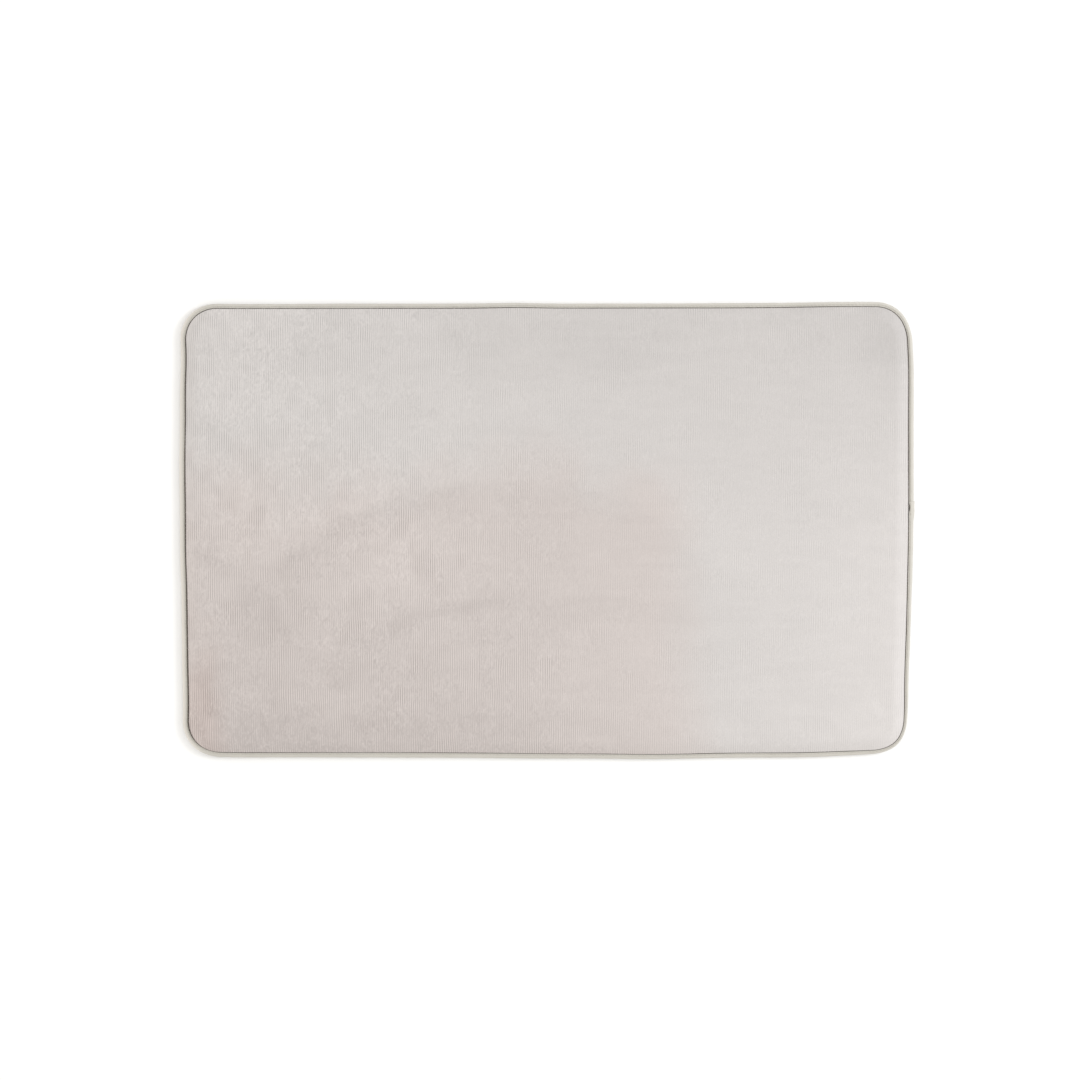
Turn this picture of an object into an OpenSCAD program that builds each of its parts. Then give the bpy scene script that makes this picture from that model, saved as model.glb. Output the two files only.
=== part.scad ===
// Bath mat with a plush cover, a foam core, a dotted anti-slip backing and a sewn tape binding.
// Millimetres. +Z is the pile side and z = 0 is the floor. The origin is under the middle of the mat.

/* [Overall size] */
// Length over the binding, along X
mat_l = 800; // [500:10:1200]
// Width over the binding, along Y
mat_w = 500; // [350:10:800]
// Outer radius of the four corners
corner_r = 43; // [34:1:90]

/* [Layers] */
// Thickness of the backing cloth
backing_t = 0.8; // [0.4:0.1:1.5]
// Thickness of each adhesive web
web_t = 0.2; // [0.1:0.05:0.4]
// Thickness of the foam away from the edge
foam_t = 8; // [5:0.5:20]
// Thickness of the foam where the binding pinches it
foam_pinch_t = 2.8; // [1.8:0.1:4]
// Thickness of the cover, knit ground and pile together, away from the edge
cover_t = 4; // [2.5:0.1:8]
// Thickness of the cover where the binding pinches it
cover_pinch_t = 1.4; // [0.8:0.1:2]

/* [Edge slope] */
// Width of the crevice between the tape and the pile
crevice_w = 1; // [0.5:0.1:3]
// Height of the first pile beside the crevice, above the pinched cover
pile_step = 1.4; // [0.5:0.1:2]
// Width over which the edge rises from the crevice to full height
slope_w = 14; // [8:1:20]

/* [Binding tape] */
// Thickness of the tape
tape_t = 0.8; // [0.65:0.05:1.5]
// Width of the tape on the pile side, from the outer edge
tape_top_w = 6; // [5:0.5:8]
// Width of the tape under the mat, from the outer edge
tape_under_w = 10; // [8:0.5:16]
// Y of the folded tape end that finishes the binding, on the right side
lap_end_y = 33; // [-100:1:100]
// Length over which the folded end lies on the start of the tape
lap_l = 22; // [10:1:40]
// Extra thickness at the lap
lap_t = 0.6; // [0.3:0.1:1]

/* [Stitching] */
// Thickness of the sewing thread
thread_d = 0.5; // [0.3:0.05:0.5]
// Distance from the binding's seam to the inner edge of the tape on the pile side
seam_in = 1; // [0.8:0.1:1.4]
// Depth that the needle thread is pulled into the tape
thread_sunk = 0.35; // [0.2:0.05:0.4]
// Thickness of the thread that sews the label on
label_thread_d = 0.3; // [0.15:0.05:0.3]
// Distance from the label's seam to the label's edge
label_seam_in = 2; // [1:0.5:4]

/* [Grip dots] */
// Diameter of a dot
dot_d = 5; // [3:0.5:8]
// Distance between neighbouring dots in a row
dot_pitch = 18; // [14:1:30]
// Least distance from a dot to the tape or the label
dot_clear = 3; // [1:1:10]

/* [Care label] */
// Length of the label, along X
label_l = 50; // [30:1:80]
// Width of the label, along Y
label_w = 30; // [20:1:50]
// Thickness of the label
label_t = 0.25; // [0.15:0.05:0.3]
// Distance from the right end of the mat to the label's centre
label_from_end = 120; // [90:1:200]
// Distance from the tape to the label
label_from_tape = 8; // [4:1:40]

/* [Hidden] */
$fn = 96;

// Room left between a thread and what it lies in
thread_clear = 0.05;
// Straight steps in the rounded slope of the edge
slope_steps = 8;

// How far each half of a straight side runs past the side's middle
side_overlap = 0.05;

// Heights of the layers, from the floor up. The dots are as tall as the tape is thick.
backing_z = tape_t;
backing_web_z = backing_z + backing_t;
foam_z = backing_web_z + web_t;
foam_top = foam_z + foam_t;
foam_pinch_top = foam_z + foam_pinch_t;
cover_z = foam_top + web_t;
cover_pinch_z = foam_pinch_top + web_t;
cover_top = cover_z + cover_t;
cover_pinch_top = cover_pinch_z + cover_pinch_t;
edge_h = cover_pinch_top + tape_t;

// Distances inward from the outer edge
bend_r = edge_h / 2;
raw_edge = bend_r;
slope_start = tape_top_w + crevice_w;
slope_end = slope_start + slope_w;
seam_at = tape_top_w - seam_in;

// Lengths of the straight runs between the corners
run_l = mat_l - 2 * corner_r;
run_w = mat_w - 2 * corner_r;

// Centre of the label
label_x = mat_l / 2 - label_from_end;
label_y = -(mat_w / 2 - tape_under_w - label_from_tape - label_w / 2);

// Rise of the edge from 0 to 1, steep at the crevice and level where it meets the flat
function rise(t) = sin(90 * t);

// Points of the slope from height low, at the crevice, to height high
function slope(low, high) = [
    for (i = [0 : slope_steps])
        let (t = i / slope_steps)
            [slope_start + slope_w * t, low + (high - low) * rise(t)]
];

// True where a point is inside the mat's outline drawn in by a distance
function inside_outline(x, y, inset) =
    norm([max(abs(x) - run_l / 2, 0), max(abs(y) - run_w / 2, 0)]) <= corner_r - inset;

// True where a point is over the label, grown by a distance
function over_label(x, y, grow) =
    abs(x - label_x) < label_l / 2 + grow && abs(y - label_y) < label_w / 2 + grow;

// The mat's outline drawn in by a distance
module outline(inset) {
    square([run_l, mat_w - 2 * inset], center = true);
    square([mat_l - 2 * inset, run_w], center = true);
    for (x = [-1, 1], y = [-1, 1])
        translate([x * run_l / 2, y * run_w / 2])
            circle(r = corner_r - inset);
}

// Turns a profile drawn inward from the outer edge into one drawn outward from a corner's centre
module from_corner_centre() {
    translate([corner_r, 0])
        mirror([1, 0])
            children();
}

// Sweeps a profile along the straight part of the right side, between two values of y
module right_side(y_from, y_to) {
    translate([run_l / 2, y_to, 0])
        rotate([90, 0, 0])
            linear_extrude(y_to - y_from)
                from_corner_centre()
                    children();
}

// Sweeps a profile round one corner and along half of each straight side that leaves it. The halves run a
// little past the middle, so the two ends of a side always meet.
module corner_and_halves(half_x, half_y) {
    rotate_extrude(angle = 90)
        from_corner_centre()
            children();
    rotate([90, 0, 0])
        linear_extrude(half_y + side_overlap)
            from_corner_centre()
                children();
    rotate([0, 0, 90])
        rotate([90, 0, 0])
            mirror([0, 0, 1])
                linear_extrude(half_x + side_overlap)
                    from_corner_centre()
                        children();
}

// Sweeps a profile all round the mat
module all_round() {
    for (turn = [0, 180])
        rotate([0, 0, turn]) {
            translate([run_l / 2, run_w / 2, 0])
                corner_and_halves(run_l / 2, run_w / 2)
                    children();
            translate([-run_l / 2, run_w / 2, 0])
                rotate([0, 0, 90])
                    corner_and_halves(run_w / 2, run_l / 2)
                        children();
        }
}

// A layer whose edge is a profile, and whose middle is flat between two heights
module layer(z_from, z_to) {
    all_round()
        children();
    translate([0, 0, z_from])
        linear_extrude(z_to - z_from)
            outline(slope_end);
}

module pile_cover() {
    color([0.83, 0.8, 0.78])
        layer(cover_z, cover_top)
            polygon(concat(
                [[raw_edge, cover_pinch_top], [raw_edge, cover_pinch_z]],
                slope(cover_pinch_z, cover_z),
                [for (i = [slope_steps : -1 : 0]) slope(cover_pinch_top + pile_step, cover_top)[i]],
                [[slope_start, cover_pinch_top]]
            ));
}

module cover_web() {
    color([0.95, 0.94, 0.9])
        layer(foam_top, cover_z)
            polygon(concat(
                [[raw_edge, cover_pinch_z], [raw_edge, foam_pinch_top]],
                slope(foam_pinch_top, foam_top),
                [for (i = [slope_steps : -1 : 0]) slope(cover_pinch_z, cover_z)[i]]
            ));
}

module foam_core() {
    color([0.94, 0.92, 0.84])
        layer(foam_z, foam_top)
            polygon(concat(
                [[slope_end, foam_z], [raw_edge, foam_z], [raw_edge, foam_pinch_top]],
                slope(foam_pinch_top, foam_top)
            ));
}

module backing_web() {
    color([0.95, 0.94, 0.9])
        translate([0, 0, backing_web_z])
            linear_extrude(web_t)
                outline(raw_edge);
}

module backing_cloth() {
    color([0.72, 0.71, 0.68])
        translate([0, 0, backing_z])
            linear_extrude(backing_t)
                outline(raw_edge);
}

// Rows of dots, every second row moved along by half a pitch
module grip_dots() {
    row_pitch = dot_pitch * sin(60);
    rows = ceil(mat_w / 2 / row_pitch);
    columns = ceil(mat_l / 2 / dot_pitch);
    inset = tape_under_w + dot_clear + dot_d / 2;
    color([0.62, 0.62, 0.6])
        for (row = [-rows : rows], column = [-columns : columns])
            let (x = (column + (row % 2 == 0 ? 0 : 0.5)) * dot_pitch, y = row * row_pitch)
                if (inside_outline(x, y, inset) && !over_label(x, y, dot_clear + dot_d / 2))
                    translate([x, y, 0])
                        cylinder(h = backing_z, d = dot_d, $fn = 32);
}

// The bead of thread on the raw edge of the layers, inside the bend of the tape
module edge_overlock() {
    bead_r = bend_r - tape_t - thread_clear;
    color([0.9, 0.89, 0.86])
        all_round()
            intersection() {
                translate([raw_edge, bend_r])
                    circle(r = bead_r);
                translate([raw_edge - bead_r, bend_r - bead_r])
                    square([bead_r, 2 * bead_r]);
            }
}

// Channels in the tape where the seam's two threads lie
module seam_channels() {
    channel_w = thread_d + 2 * thread_clear;
    translate([seam_at - channel_w / 2, edge_h - thread_sunk - thread_clear])
        square([channel_w, edge_h]);
    translate([seam_at - channel_w / 2, -edge_h])
        square([channel_w, edge_h + channel_w]);
}

// The tape's fold round the edge of the layers
module tape_profile() {
    difference() {
        union() {
            translate([bend_r, bend_r])
                circle(r = bend_r);
            translate([bend_r, 0])
                square([tape_under_w - bend_r, tape_t]);
            translate([bend_r, edge_h - tape_t])
                square([tape_top_w - bend_r, tape_t]);
        }
        translate([bend_r, bend_r])
            circle(r = bend_r - tape_t);
        translate([bend_r, tape_t])
            square([edge_h, edge_h - 2 * tape_t]);
        seam_channels();
    }
}

// The folded end on top of the tape, which thins out to nothing at the outer edge
module lap_profile() {
    difference() {
        intersection() {
            union() {
                translate([bend_r, bend_r])
                    circle(r = bend_r + lap_t);
                translate([bend_r, bend_r])
                    square([tape_top_w - bend_r, bend_r + lap_t]);
            }
            translate([0, bend_r])
                square([tape_top_w, edge_h]);
        }
        translate([bend_r, bend_r])
            circle(r = bend_r - tape_t / 2);
        translate([bend_r, bend_r])
            square([edge_h, bend_r - tape_t / 2]);
        seam_channels();
    }
}

module binding_tape() {
    color([0.78, 0.77, 0.73]) {
        all_round()
            tape_profile();
        right_side(lap_end_y - lap_l, lap_end_y)
            lap_profile();
    }
}

module needle_thread() {
    color([0.7, 0.69, 0.65])
        all_round()
            translate([seam_at, edge_h - thread_sunk + thread_d / 2])
                circle(d = thread_d, $fn = 24);
}

module bobbin_thread() {
    color([0.7, 0.69, 0.65])
        all_round()
            translate([seam_at, thread_clear + thread_d / 2])
                circle(d = thread_d, $fn = 24);
}

module care_label() {
    color([0.96, 0.96, 0.95])
        translate([label_x, label_y, backing_z - label_t])
            linear_extrude(label_t)
                square([label_l, label_w], center = true);
}

module label_stitches() {
    seam_l = label_l - 2 * label_seam_in;
    seam_w = label_w - 2 * label_seam_in;
    color([0.85, 0.85, 0.84])
        translate([label_x, label_y, backing_z - label_t - label_thread_d])
            linear_extrude(label_thread_d)
                difference() {
                    square([seam_l, seam_w], center = true);
                    square([seam_l - 2 * label_thread_d, seam_w - 2 * label_thread_d], center = true);
                }
}

pile_cover();
cover_web();
foam_core();
backing_web();
backing_cloth();
grip_dots();
edge_overlock();
binding_tape();
needle_thread();
bobbin_thread();
care_label();
label_stitches();
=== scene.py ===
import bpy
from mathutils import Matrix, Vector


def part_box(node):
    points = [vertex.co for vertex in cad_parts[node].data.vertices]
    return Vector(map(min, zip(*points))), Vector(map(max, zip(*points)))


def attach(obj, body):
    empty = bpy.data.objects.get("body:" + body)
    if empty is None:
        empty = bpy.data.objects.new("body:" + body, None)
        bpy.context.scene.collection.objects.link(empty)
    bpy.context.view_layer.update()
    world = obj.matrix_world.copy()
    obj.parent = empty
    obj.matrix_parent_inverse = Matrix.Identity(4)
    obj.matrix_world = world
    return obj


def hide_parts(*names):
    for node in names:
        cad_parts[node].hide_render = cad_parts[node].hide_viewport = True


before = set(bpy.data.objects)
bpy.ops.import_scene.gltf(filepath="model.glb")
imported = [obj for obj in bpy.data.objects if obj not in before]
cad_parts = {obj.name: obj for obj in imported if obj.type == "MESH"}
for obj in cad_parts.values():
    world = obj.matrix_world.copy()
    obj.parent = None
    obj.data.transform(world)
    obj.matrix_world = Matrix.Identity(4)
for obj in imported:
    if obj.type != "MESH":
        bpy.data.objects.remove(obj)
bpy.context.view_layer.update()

import math

import bpy
import numpy as np
from mathutils import Matrix, Vector

# A plush bath mat. Lengths are in metres: X along the mat, Y across it, Z up out of the pile.
tapeLow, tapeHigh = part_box("binding_tape")
coverLow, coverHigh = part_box("pile_cover")
foamLow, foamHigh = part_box("foam_core")
backingLow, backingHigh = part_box("backing_cloth")
labelLow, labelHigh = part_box("care_label")

mat = {
    "halfLength": (tapeHigh.x - tapeLow.x) / 2,
    "halfWidth": (tapeHigh.y - tapeLow.y) / 2,
    "cornerRadius": 0.043,
    "edgeHeight": 0.007,     # of the binding above the floor
    "rawEdge": 0.0036,       # from the outer edge to the cut edge of the layers
}
runX = mat["halfLength"] - mat["cornerRadius"]
runY = mat["halfWidth"] - mat["cornerRadius"]

# Where the sewn edge lies off its true line: a place on it, how far it is pushed, and over what reach.
edgeDrift = {
    "rightMiddle": {"at": (0.400, 0.015), "push": (0.0011, 0.0), "reach": 0.080},
    "rightTop": {"at": (0.400, 0.222), "push": (-0.0028, 0.0), "reach": 0.030},
    "rightBottom": {"at": (0.400, -0.170), "push": (-0.0016, 0.0), "reach": 0.055},
    "rightLowest": {"at": (0.400, -0.217), "push": (-0.0014, 0.0), "reach": 0.018},
    "leftTop": {"at": (-0.400, 0.195), "push": (0.0024, 0.0), "reach": 0.040},
    "leftUpper": {"at": (-0.400, 0.125), "push": (0.0009, 0.0), "reach": 0.030},
    "leftCentre": {"at": (-0.400, -0.022), "push": (-0.0007, 0.0), "reach": 0.030},
    "leftLower": {"at": (-0.400, -0.185), "push": (0.0005, 0.0), "reach": 0.030},
    "topMiddle": {"at": (-0.033, 0.250), "push": (0.0, 0.0008), "reach": 0.030},
    "leftMiddle": {"at": (-0.400, 0.060), "push": (-0.0005, 0.0), "reach": 0.080},
    "topRight": {"at": (0.330, 0.250), "push": (0.0, 0.0013), "reach": 0.070},
    "bottomMiddle": {"at": (0.120, -0.250), "push": (0.0, -0.0017), "reach": 0.060},
    "bottomCentre": {"at": (0.010, -0.250), "push": (0.0, -0.0011), "reach": 0.070},
    "bottomRight": {"at": (0.350, -0.250), "push": (0.0, 0.0023), "reach": 0.050},
    "bottomLast": {"at": (0.368, -0.250), "push": (0.0, 0.0011), "reach": 0.018},
    "bottomFirst": {"at": (-0.365, -0.250), "push": (0.0, 0.0008), "reach": 0.020},
    "cornerTopLeft": {"at": (-0.385, 0.235), "push": (-0.0004, 0.0004), "reach": 0.030},
    "cornerTopRight": {"at": (0.385, 0.235), "push": (0.0007, 0.0002), "reach": 0.030},
    "cornerBottomLeft": {"at": (-0.385, -0.235), "push": (-0.0007, -0.0007), "reach": 0.030},
}


def smooth(t):
    t = np.clip(t, 0, 1)
    return t * t * (3 - 2 * t)


def bell(offset, width):    # 1 at no offset, fading to 0 over about twice the width
    return np.exp(-(offset / width) ** 2)


def softNoise(x, y, cell, seed):    # smooth random heights from 0 to 1, one knot every cell
    knots = np.random.RandomState(seed).rand(128, 128)
    u, v = np.asarray(x) / cell + 64, np.asarray(y) / cell + 64
    i, j = np.floor(u).astype(int), np.floor(v).astype(int)
    a, b = smooth(u - i), smooth(v - j)
    near = knots[i % 128, j % 128] * (1 - a) + knots[(i + 1) % 128, j % 128] * a
    far = knots[i % 128, (j + 1) % 128] * (1 - a) + knots[(i + 1) % 128, (j + 1) % 128] * a
    return near * (1 - b) + far * b


def cloudNoise(x, y, cell, seed):    # rounder clouds, from three turned layers
    turned = softNoise(0.8 * x + 0.6 * y, 0.8 * y - 0.6 * x, cell, seed)
    other = softNoise(0.4 * x - 0.92 * y, 0.4 * y + 0.92 * x, cell * 0.62, seed + 300)
    fine = softNoise(0.95 * x + 0.3 * y, 0.95 * y - 0.3 * x, cell * 0.3, seed + 600)
    return 0.5 * turned + 0.3 * other + 0.2 * fine


def settle(points):    # moves points with the slightly uneven sewn edge
    points = np.array(points, float)
    shift = np.zeros((len(points), 2))
    for bend in edgeDrift.values():
        away = np.hypot(points[:, 0] - bend["at"][0], points[:, 1] - bend["at"][1])
        shift += bell(away, bend["reach"])[:, None] * np.array(bend["push"])
    points[:, :2] += shift
    return points


def insetOf(x, y):    # distance inward from the mat's outer edge
    pastX, pastY = np.abs(x) - runX, np.abs(y) - runY
    outside = np.hypot(np.maximum(pastX, 0), np.maximum(pastY, 0))
    return mat["cornerRadius"] - outside - np.minimum(np.maximum(pastX, pastY), 0)


def creviceShade(x, y):    # how much painted shade falls in the furrow beside the binding: most on the left
    left = smooth((-x - 0.365) / 0.025) * smooth((0.236 - y) / 0.05) * smooth((0.242 + y) / 0.03)
    rightTop = smooth((x - 0.375) / 0.020) * smooth(y / 0.090) * smooth((0.236 - y) / 0.03)
    return 0.05 + left * (0.65 + 0.22 * smooth(-y / 0.10)) + 0.50 * rightTop


def alongEdge(distance, inset):    # anticlockwise: the arc's centre or a point inside the side, and outward
    arc = (mat["cornerRadius"] - inset) * math.pi / 2
    legs = [2 * runY, arc, 2 * runX, arc] * 2
    stops = np.concatenate([[0], np.cumsum(legs)])
    angle = np.interp(distance, stops, np.radians([0, 0, 90, 90, 180, 180, 270, 270, 360]))
    baseX = np.interp(distance, stops, runX * np.array([1, 1, 1, -1, -1, -1, -1, 1, 1]))
    baseY = np.interp(distance, stops, runY * np.array([-1, 1, 1, 1, 1, -1, -1, -1, -1]))
    return np.stack([baseX, baseY], 1), np.stack([np.cos(angle), np.sin(angle)], 1)


def edgeLength(inset):
    return 4 * (runX + runY) + 2 * math.pi * (mat["cornerRadius"] - inset)


def edgePoints(distance, inset, height):
    base, out = alongEdge(distance, inset)
    flat = base + out * (mat["cornerRadius"] - inset)
    return np.column_stack([flat, np.full(len(flat), height)])


def meshPiece(name, points, faces, smoothShade=True):
    mesh = bpy.data.meshes.new(name)
    mesh.from_pydata([tuple(p) for p in points], [], faces)
    mesh.update()
    mesh.polygons.foreach_set("use_smooth", [smoothShade] * len(mesh.polygons))
    piece = bpy.data.objects.new(name, mesh)
    bpy.context.scene.collection.objects.link(piece)
    return piece


def finishWith(piece, material, nodes):
    piece.data.materials.clear()
    piece.data.materials.append(material)
    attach(piece, "root")
    if nodes:
        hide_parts(*nodes)


# Materials

def material(name, roughness, sheen=0.0, sheenRoughness=0.5, specular=0.3):
    made = bpy.data.materials.new(name)
    made.use_nodes = True
    shader = made.node_tree.nodes["Principled BSDF"]
    shader.inputs["Roughness"].default_value = roughness
    shader.inputs["Sheen Weight"].default_value = sheen
    shader.inputs["Sheen Roughness"].default_value = sheenRoughness
    shader.inputs["Specular IOR Level"].default_value = specular
    return made, made.node_tree, shader


def addNode(tree, kind, inputs=None, **settings):
    node = tree.nodes.new(kind)
    for key, value in settings.items():
        setattr(node, key, value)
    for key, value in (inputs or {}).items():
        if isinstance(value, bpy.types.NodeSocket):
            tree.links.new(value, node.inputs[key])
        else:
            node.inputs[key].default_value = value
    return node


def mathNode(tree, operation, first, second):
    return addNode(tree, "ShaderNodeMath", {0: first, 1: second}, operation=operation).outputs[0]


def objectPlaces(tree, scale=(1, 1, 1)):
    places = addNode(tree, "ShaderNodeTexCoord").outputs["Object"]
    return addNode(tree, "ShaderNodeMapping", {"Vector": places, "Scale": scale}).outputs[0]


def noiseOf(tree, places, scale, detail=2.0, rough=0.5):
    inputs = {"Vector": places, "Scale": scale, "Detail": detail, "Roughness": rough}
    return addNode(tree, "ShaderNodeTexNoise", inputs).outputs["Fac"]


def waveOf(tree, places, scale, distortion, detail=2.0, direction="X"):
    inputs = {"Vector": places, "Scale": scale, "Distortion": distortion, "Detail": detail}
    return addNode(tree, "ShaderNodeTexWave", inputs, bands_direction=direction).outputs["Fac"]


def pointValue(tree, name):    # a value kept on the mesh's points
    return addNode(tree, "ShaderNodeAttribute", attribute_name=name).outputs["Fac"]


def weighted(tree, *parts):    # a sum of (value, weight) pairs
    total = 0.0
    for value, weight in parts:
        total = mathNode(tree, "ADD", total, mathNode(tree, "MULTIPLY", value, weight))
    return total


def between(tree, factor, low, high, clamped=True):    # the low colour where factor is 0, the high where 1
    mix = addNode(tree, "ShaderNodeMix", data_type="RGBA", clamp_factor=clamped)
    for socket, value in ((mix.inputs[0], factor), (mix.inputs[6], low), (mix.inputs[7], high)):
        if isinstance(value, bpy.types.NodeSocket):
            tree.links.new(value, socket)
        else:
            socket.default_value = (*value, 1)
    return mix.outputs[2]


def colourFrom(tree, shader, factor, look):
    tree.links.new(between(tree, factor, look["shade"], look["light"]), shader.inputs["Base Color"])


def spread(tree, value, low, high):    # 0 where value is low, 1 where it is high
    return addNode(tree, "ShaderNodeMapRange", {0: value, 1: low, 2: high}).outputs[0]


def bumpFrom(tree, shader, height, depth, strength=1.0):
    bump = addNode(tree, "ShaderNodeBump", {"Height": height, "Distance": depth, "Strength": strength})
    tree.links.new(bump.outputs[0], shader.inputs["Normal"])


pileLook = {
    "shaded": (0.430, 0.412, 0.400),      # painted shade: the pile's colour where the painted light value is 0
    "lit": (0.595, 0.568, 0.552),         # painted light: its colour where that value is 1
    "warmShaded": (0.430, 0.391, 0.374),  # the same painted shade and light, pinker where the warmth value is high
    "warmLit": (0.595, 0.546, 0.523),
    "root": (0.13, 0.110, 0.095),         # painted shade deep between the yarns and down in the furrow beside the binding
    "fibresPerMetre": 3200.0,
    "tuftsPerMetre": 900.0,
    "grainShare": 0.55,
    "bump": 0.0004,
}


def pileMaterial(name, lift, withRootShade):    # painted light: lift draws single fibres lighter, for light through them and to offset their own shade
    made, tree, shader = material(name, 0.92, sheen=0.3, sheenRoughness=0.4, specular=0.1)
    napAndLight, warmth, depth = (pointValue(tree, name) for name in ("napAndLight", "warmth", "depth"))
    fibre = noiseOf(tree, objectPlaces(tree, (1, 0.38, 1)), pileLook["fibresPerMetre"], 3.0, 0.65)
    tuft = noiseOf(tree, objectPlaces(tree, (1, 0.55, 1)), pileLook["tuftsPerMetre"], 2.0, 0.6)
    grain = weighted(tree, (fibre, 0.6), (tuft, 0.4))
    fleck = mathNode(tree, "MULTIPLY", mathNode(tree, "SUBTRACT", grain, 0.5), pileLook["grainShare"] * 2)
    lay = mathNode(tree, "ADD", napAndLight, fleck)
    shaded, lit, warmShaded, warmLit = ([value * lift for value in pileLook[key]]
                                        for key in ("shaded", "lit", "warmShaded", "warmLit"))
    # painted light and shade: the pile's colour runs from its shaded to its lit copy
    cool, warm = between(tree, lay, shaded, lit), between(tree, lay, warmShaded, warmLit)
    yarn = between(tree, warmth, cool, warm, clamped=False)
    # painted shade: the dark root colour where the depth value is high
    colour = between(tree, depth, yarn, pileLook["root"]) if withRootShade else yarn
    tree.links.new(colour, shader.inputs["Base Color"])
    bumpFrom(tree, shader, grain, pileLook["bump"], 0.8)
    return made


tapeLook = {
    "shade": (0.44, 0.421, 0.380),
    "light": (0.59, 0.567, 0.514),
    "paintedFoldLight": (0.84, 0.790, 0.730),        # painted light: the outer fold on the left side, drawn pale
    "furrowShadeColour": (0.17, 0.150, 0.115),      # painted shade where it dips into the furrow beside the pile
    "twillPitch": 0.00198,
    "bump": 0.00012,
}


def tapeMaterial():
    made, tree, shader = material("bindingTape", 0.78, sheen=0.15, specular=0.2)
    across = addNode(tree, "ShaderNodeUVMap", uv_map="run").outputs[0]
    wave = addNode(tree, "ShaderNodeTexWave", {"Vector": across, "Scale": 1.0, "Distortion": 0.6,
                                               "Detail": 1.0, "Detail Scale": 2.0})
    wave.bands_direction = "DIAGONAL"
    cloudy = noiseOf(tree, objectPlaces(tree), 60.0, 3.0)
    fine = noiseOf(tree, objectPlaces(tree), 2200.0, 2.0)
    tone = weighted(tree, (wave.outputs["Fac"], 0.35), (cloudy, 0.45), (fine, 0.2))
    cloth = between(tree, tone, tapeLook["shade"], tapeLook["light"])
    # painted light on the outer fold of the left side
    cloth = between(tree, pointValue(tree, "paintedFoldLight"), cloth, tapeLook["paintedFoldLight"])
    # painted shade where the tape dips into the furrow
    cloth = between(tree, pointValue(tree, "paintedFurrowShade"), cloth, tapeLook["furrowShadeColour"])
    tree.links.new(cloth, shader.inputs["Base Color"])
    bumpFrom(tree, shader, mathNode(tree, "ADD", wave.outputs["Fac"], fine), tapeLook["bump"], 0.7)
    return made


threadLook = {"shade": (0.30, 0.28, 0.23), "light": (0.50, 0.48, 0.41), "plyPerMetre": 1600.0}


def threadMaterial():
    made, tree, shader = material("sewingThread", 0.5, sheen=0.1, specular=0.4)
    ply = waveOf(tree, objectPlaces(tree), threadLook["plyPerMetre"], 1.5, direction="DIAGONAL")
    colourFrom(tree, shader, ply, threadLook)
    bumpFrom(tree, shader, ply, 0.00006, 0.8)
    return made


foamLook = {"shade": (0.80, 0.74, 0.56), "light": (0.90, 0.86, 0.72), "cellsPerMetre": 1400.0}


def foamMaterial():
    made, tree, shader = material("memoryFoam", 0.9, sheen=0.1, specular=0.15)
    inputs = {"Vector": objectPlaces(tree), "Scale": foamLook["cellsPerMetre"]}
    cells = addNode(tree, "ShaderNodeTexVoronoi", inputs).outputs["Distance"]
    tone = spread(tree, cells, 0.05, 0.6)
    colourFrom(tree, shader, tone, foamLook)
    bumpFrom(tree, shader, cells, 0.0004, 0.8)
    return made


backingLook = {"shade": (0.34, 0.33, 0.30), "light": (0.52, 0.51, 0.47), "loopsPerMetre": 620.0}


def backingMaterial():
    made, tree, shader = material("backingKnit", 0.88, sheen=0.12, specular=0.15)
    places = objectPlaces(tree)
    wales = waveOf(tree, places, backingLook["loopsPerMetre"] / 2, 0.8, 1.0)
    courses = waveOf(tree, places, backingLook["loopsPerMetre"] / 2.6, 0.8, 1.0, "Y")
    loops = mathNode(tree, "MULTIPLY", wales, courses)
    tone = weighted(tree, (loops, 0.7), (noiseOf(tree, places, 25.0, 3.0), 0.3))
    colourFrom(tree, shader, tone, backingLook)
    bumpFrom(tree, shader, loops, 0.0003, 0.8)
    return made


gripLook = {"shade": (0.22, 0.22, 0.21), "light": (0.30, 0.30, 0.285)}


def gripMaterial():
    made, tree, shader = material("gripRubber", 0.45, specular=0.45)
    colourFrom(tree, shader, noiseOf(tree, objectPlaces(tree), 300.0, 3.0), gripLook)
    wear = spread(tree, noiseOf(tree, objectPlaces(tree), 90.0, 2.0), 0.3, 0.7)
    rough = addNode(tree, "ShaderNodeMapRange", {0: wear, 3: 0.38, 4: 0.6}).outputs[0]
    tree.links.new(rough, shader.inputs["Roughness"])
    bumpFrom(tree, shader, noiseOf(tree, objectPlaces(tree), 2500.0, 2.0), 0.00008, 0.6)
    return made


labelLook = {"shade": (0.78, 0.78, 0.76), "light": (0.90, 0.90, 0.88), "threadsPerMetre": 1800.0}


def labelMaterial():
    made, tree, shader = material("labelSatin", 0.42, sheen=0.2, specular=0.4)
    places = objectPlaces(tree)
    warp = waveOf(tree, places, labelLook["threadsPerMetre"] / 2, 0.3, direction="Y")
    tone = weighted(tree, (warp, 0.6), (noiseOf(tree, places, 120.0, 2.0), 0.4))
    colourFrom(tree, shader, tone, labelLook)
    bumpFrom(tree, shader, warp, 0.00005, 0.7)
    return made


webLook = {"shade": (0.74, 0.73, 0.68), "light": (0.88, 0.87, 0.82)}    # light along its strands


def webMaterial():
    made, tree, shader = material("meltedWeb", 0.4, specular=0.5)
    strands = addNode(tree, "ShaderNodeTexVoronoi", {"Vector": objectPlaces(tree), "Scale": 350.0},
                      feature="DISTANCE_TO_EDGE")
    tone = spread(tree, strands.outputs["Distance"], 0.0, 0.2)
    tree.links.new(between(tree, tone, webLook["light"], webLook["shade"]), shader.inputs["Base Color"])
    bumpFrom(tree, shader, tone, 0.0001, 0.5)
    return made


# Padded layers, built on columns that run across the mat and follow its round corners

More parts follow.
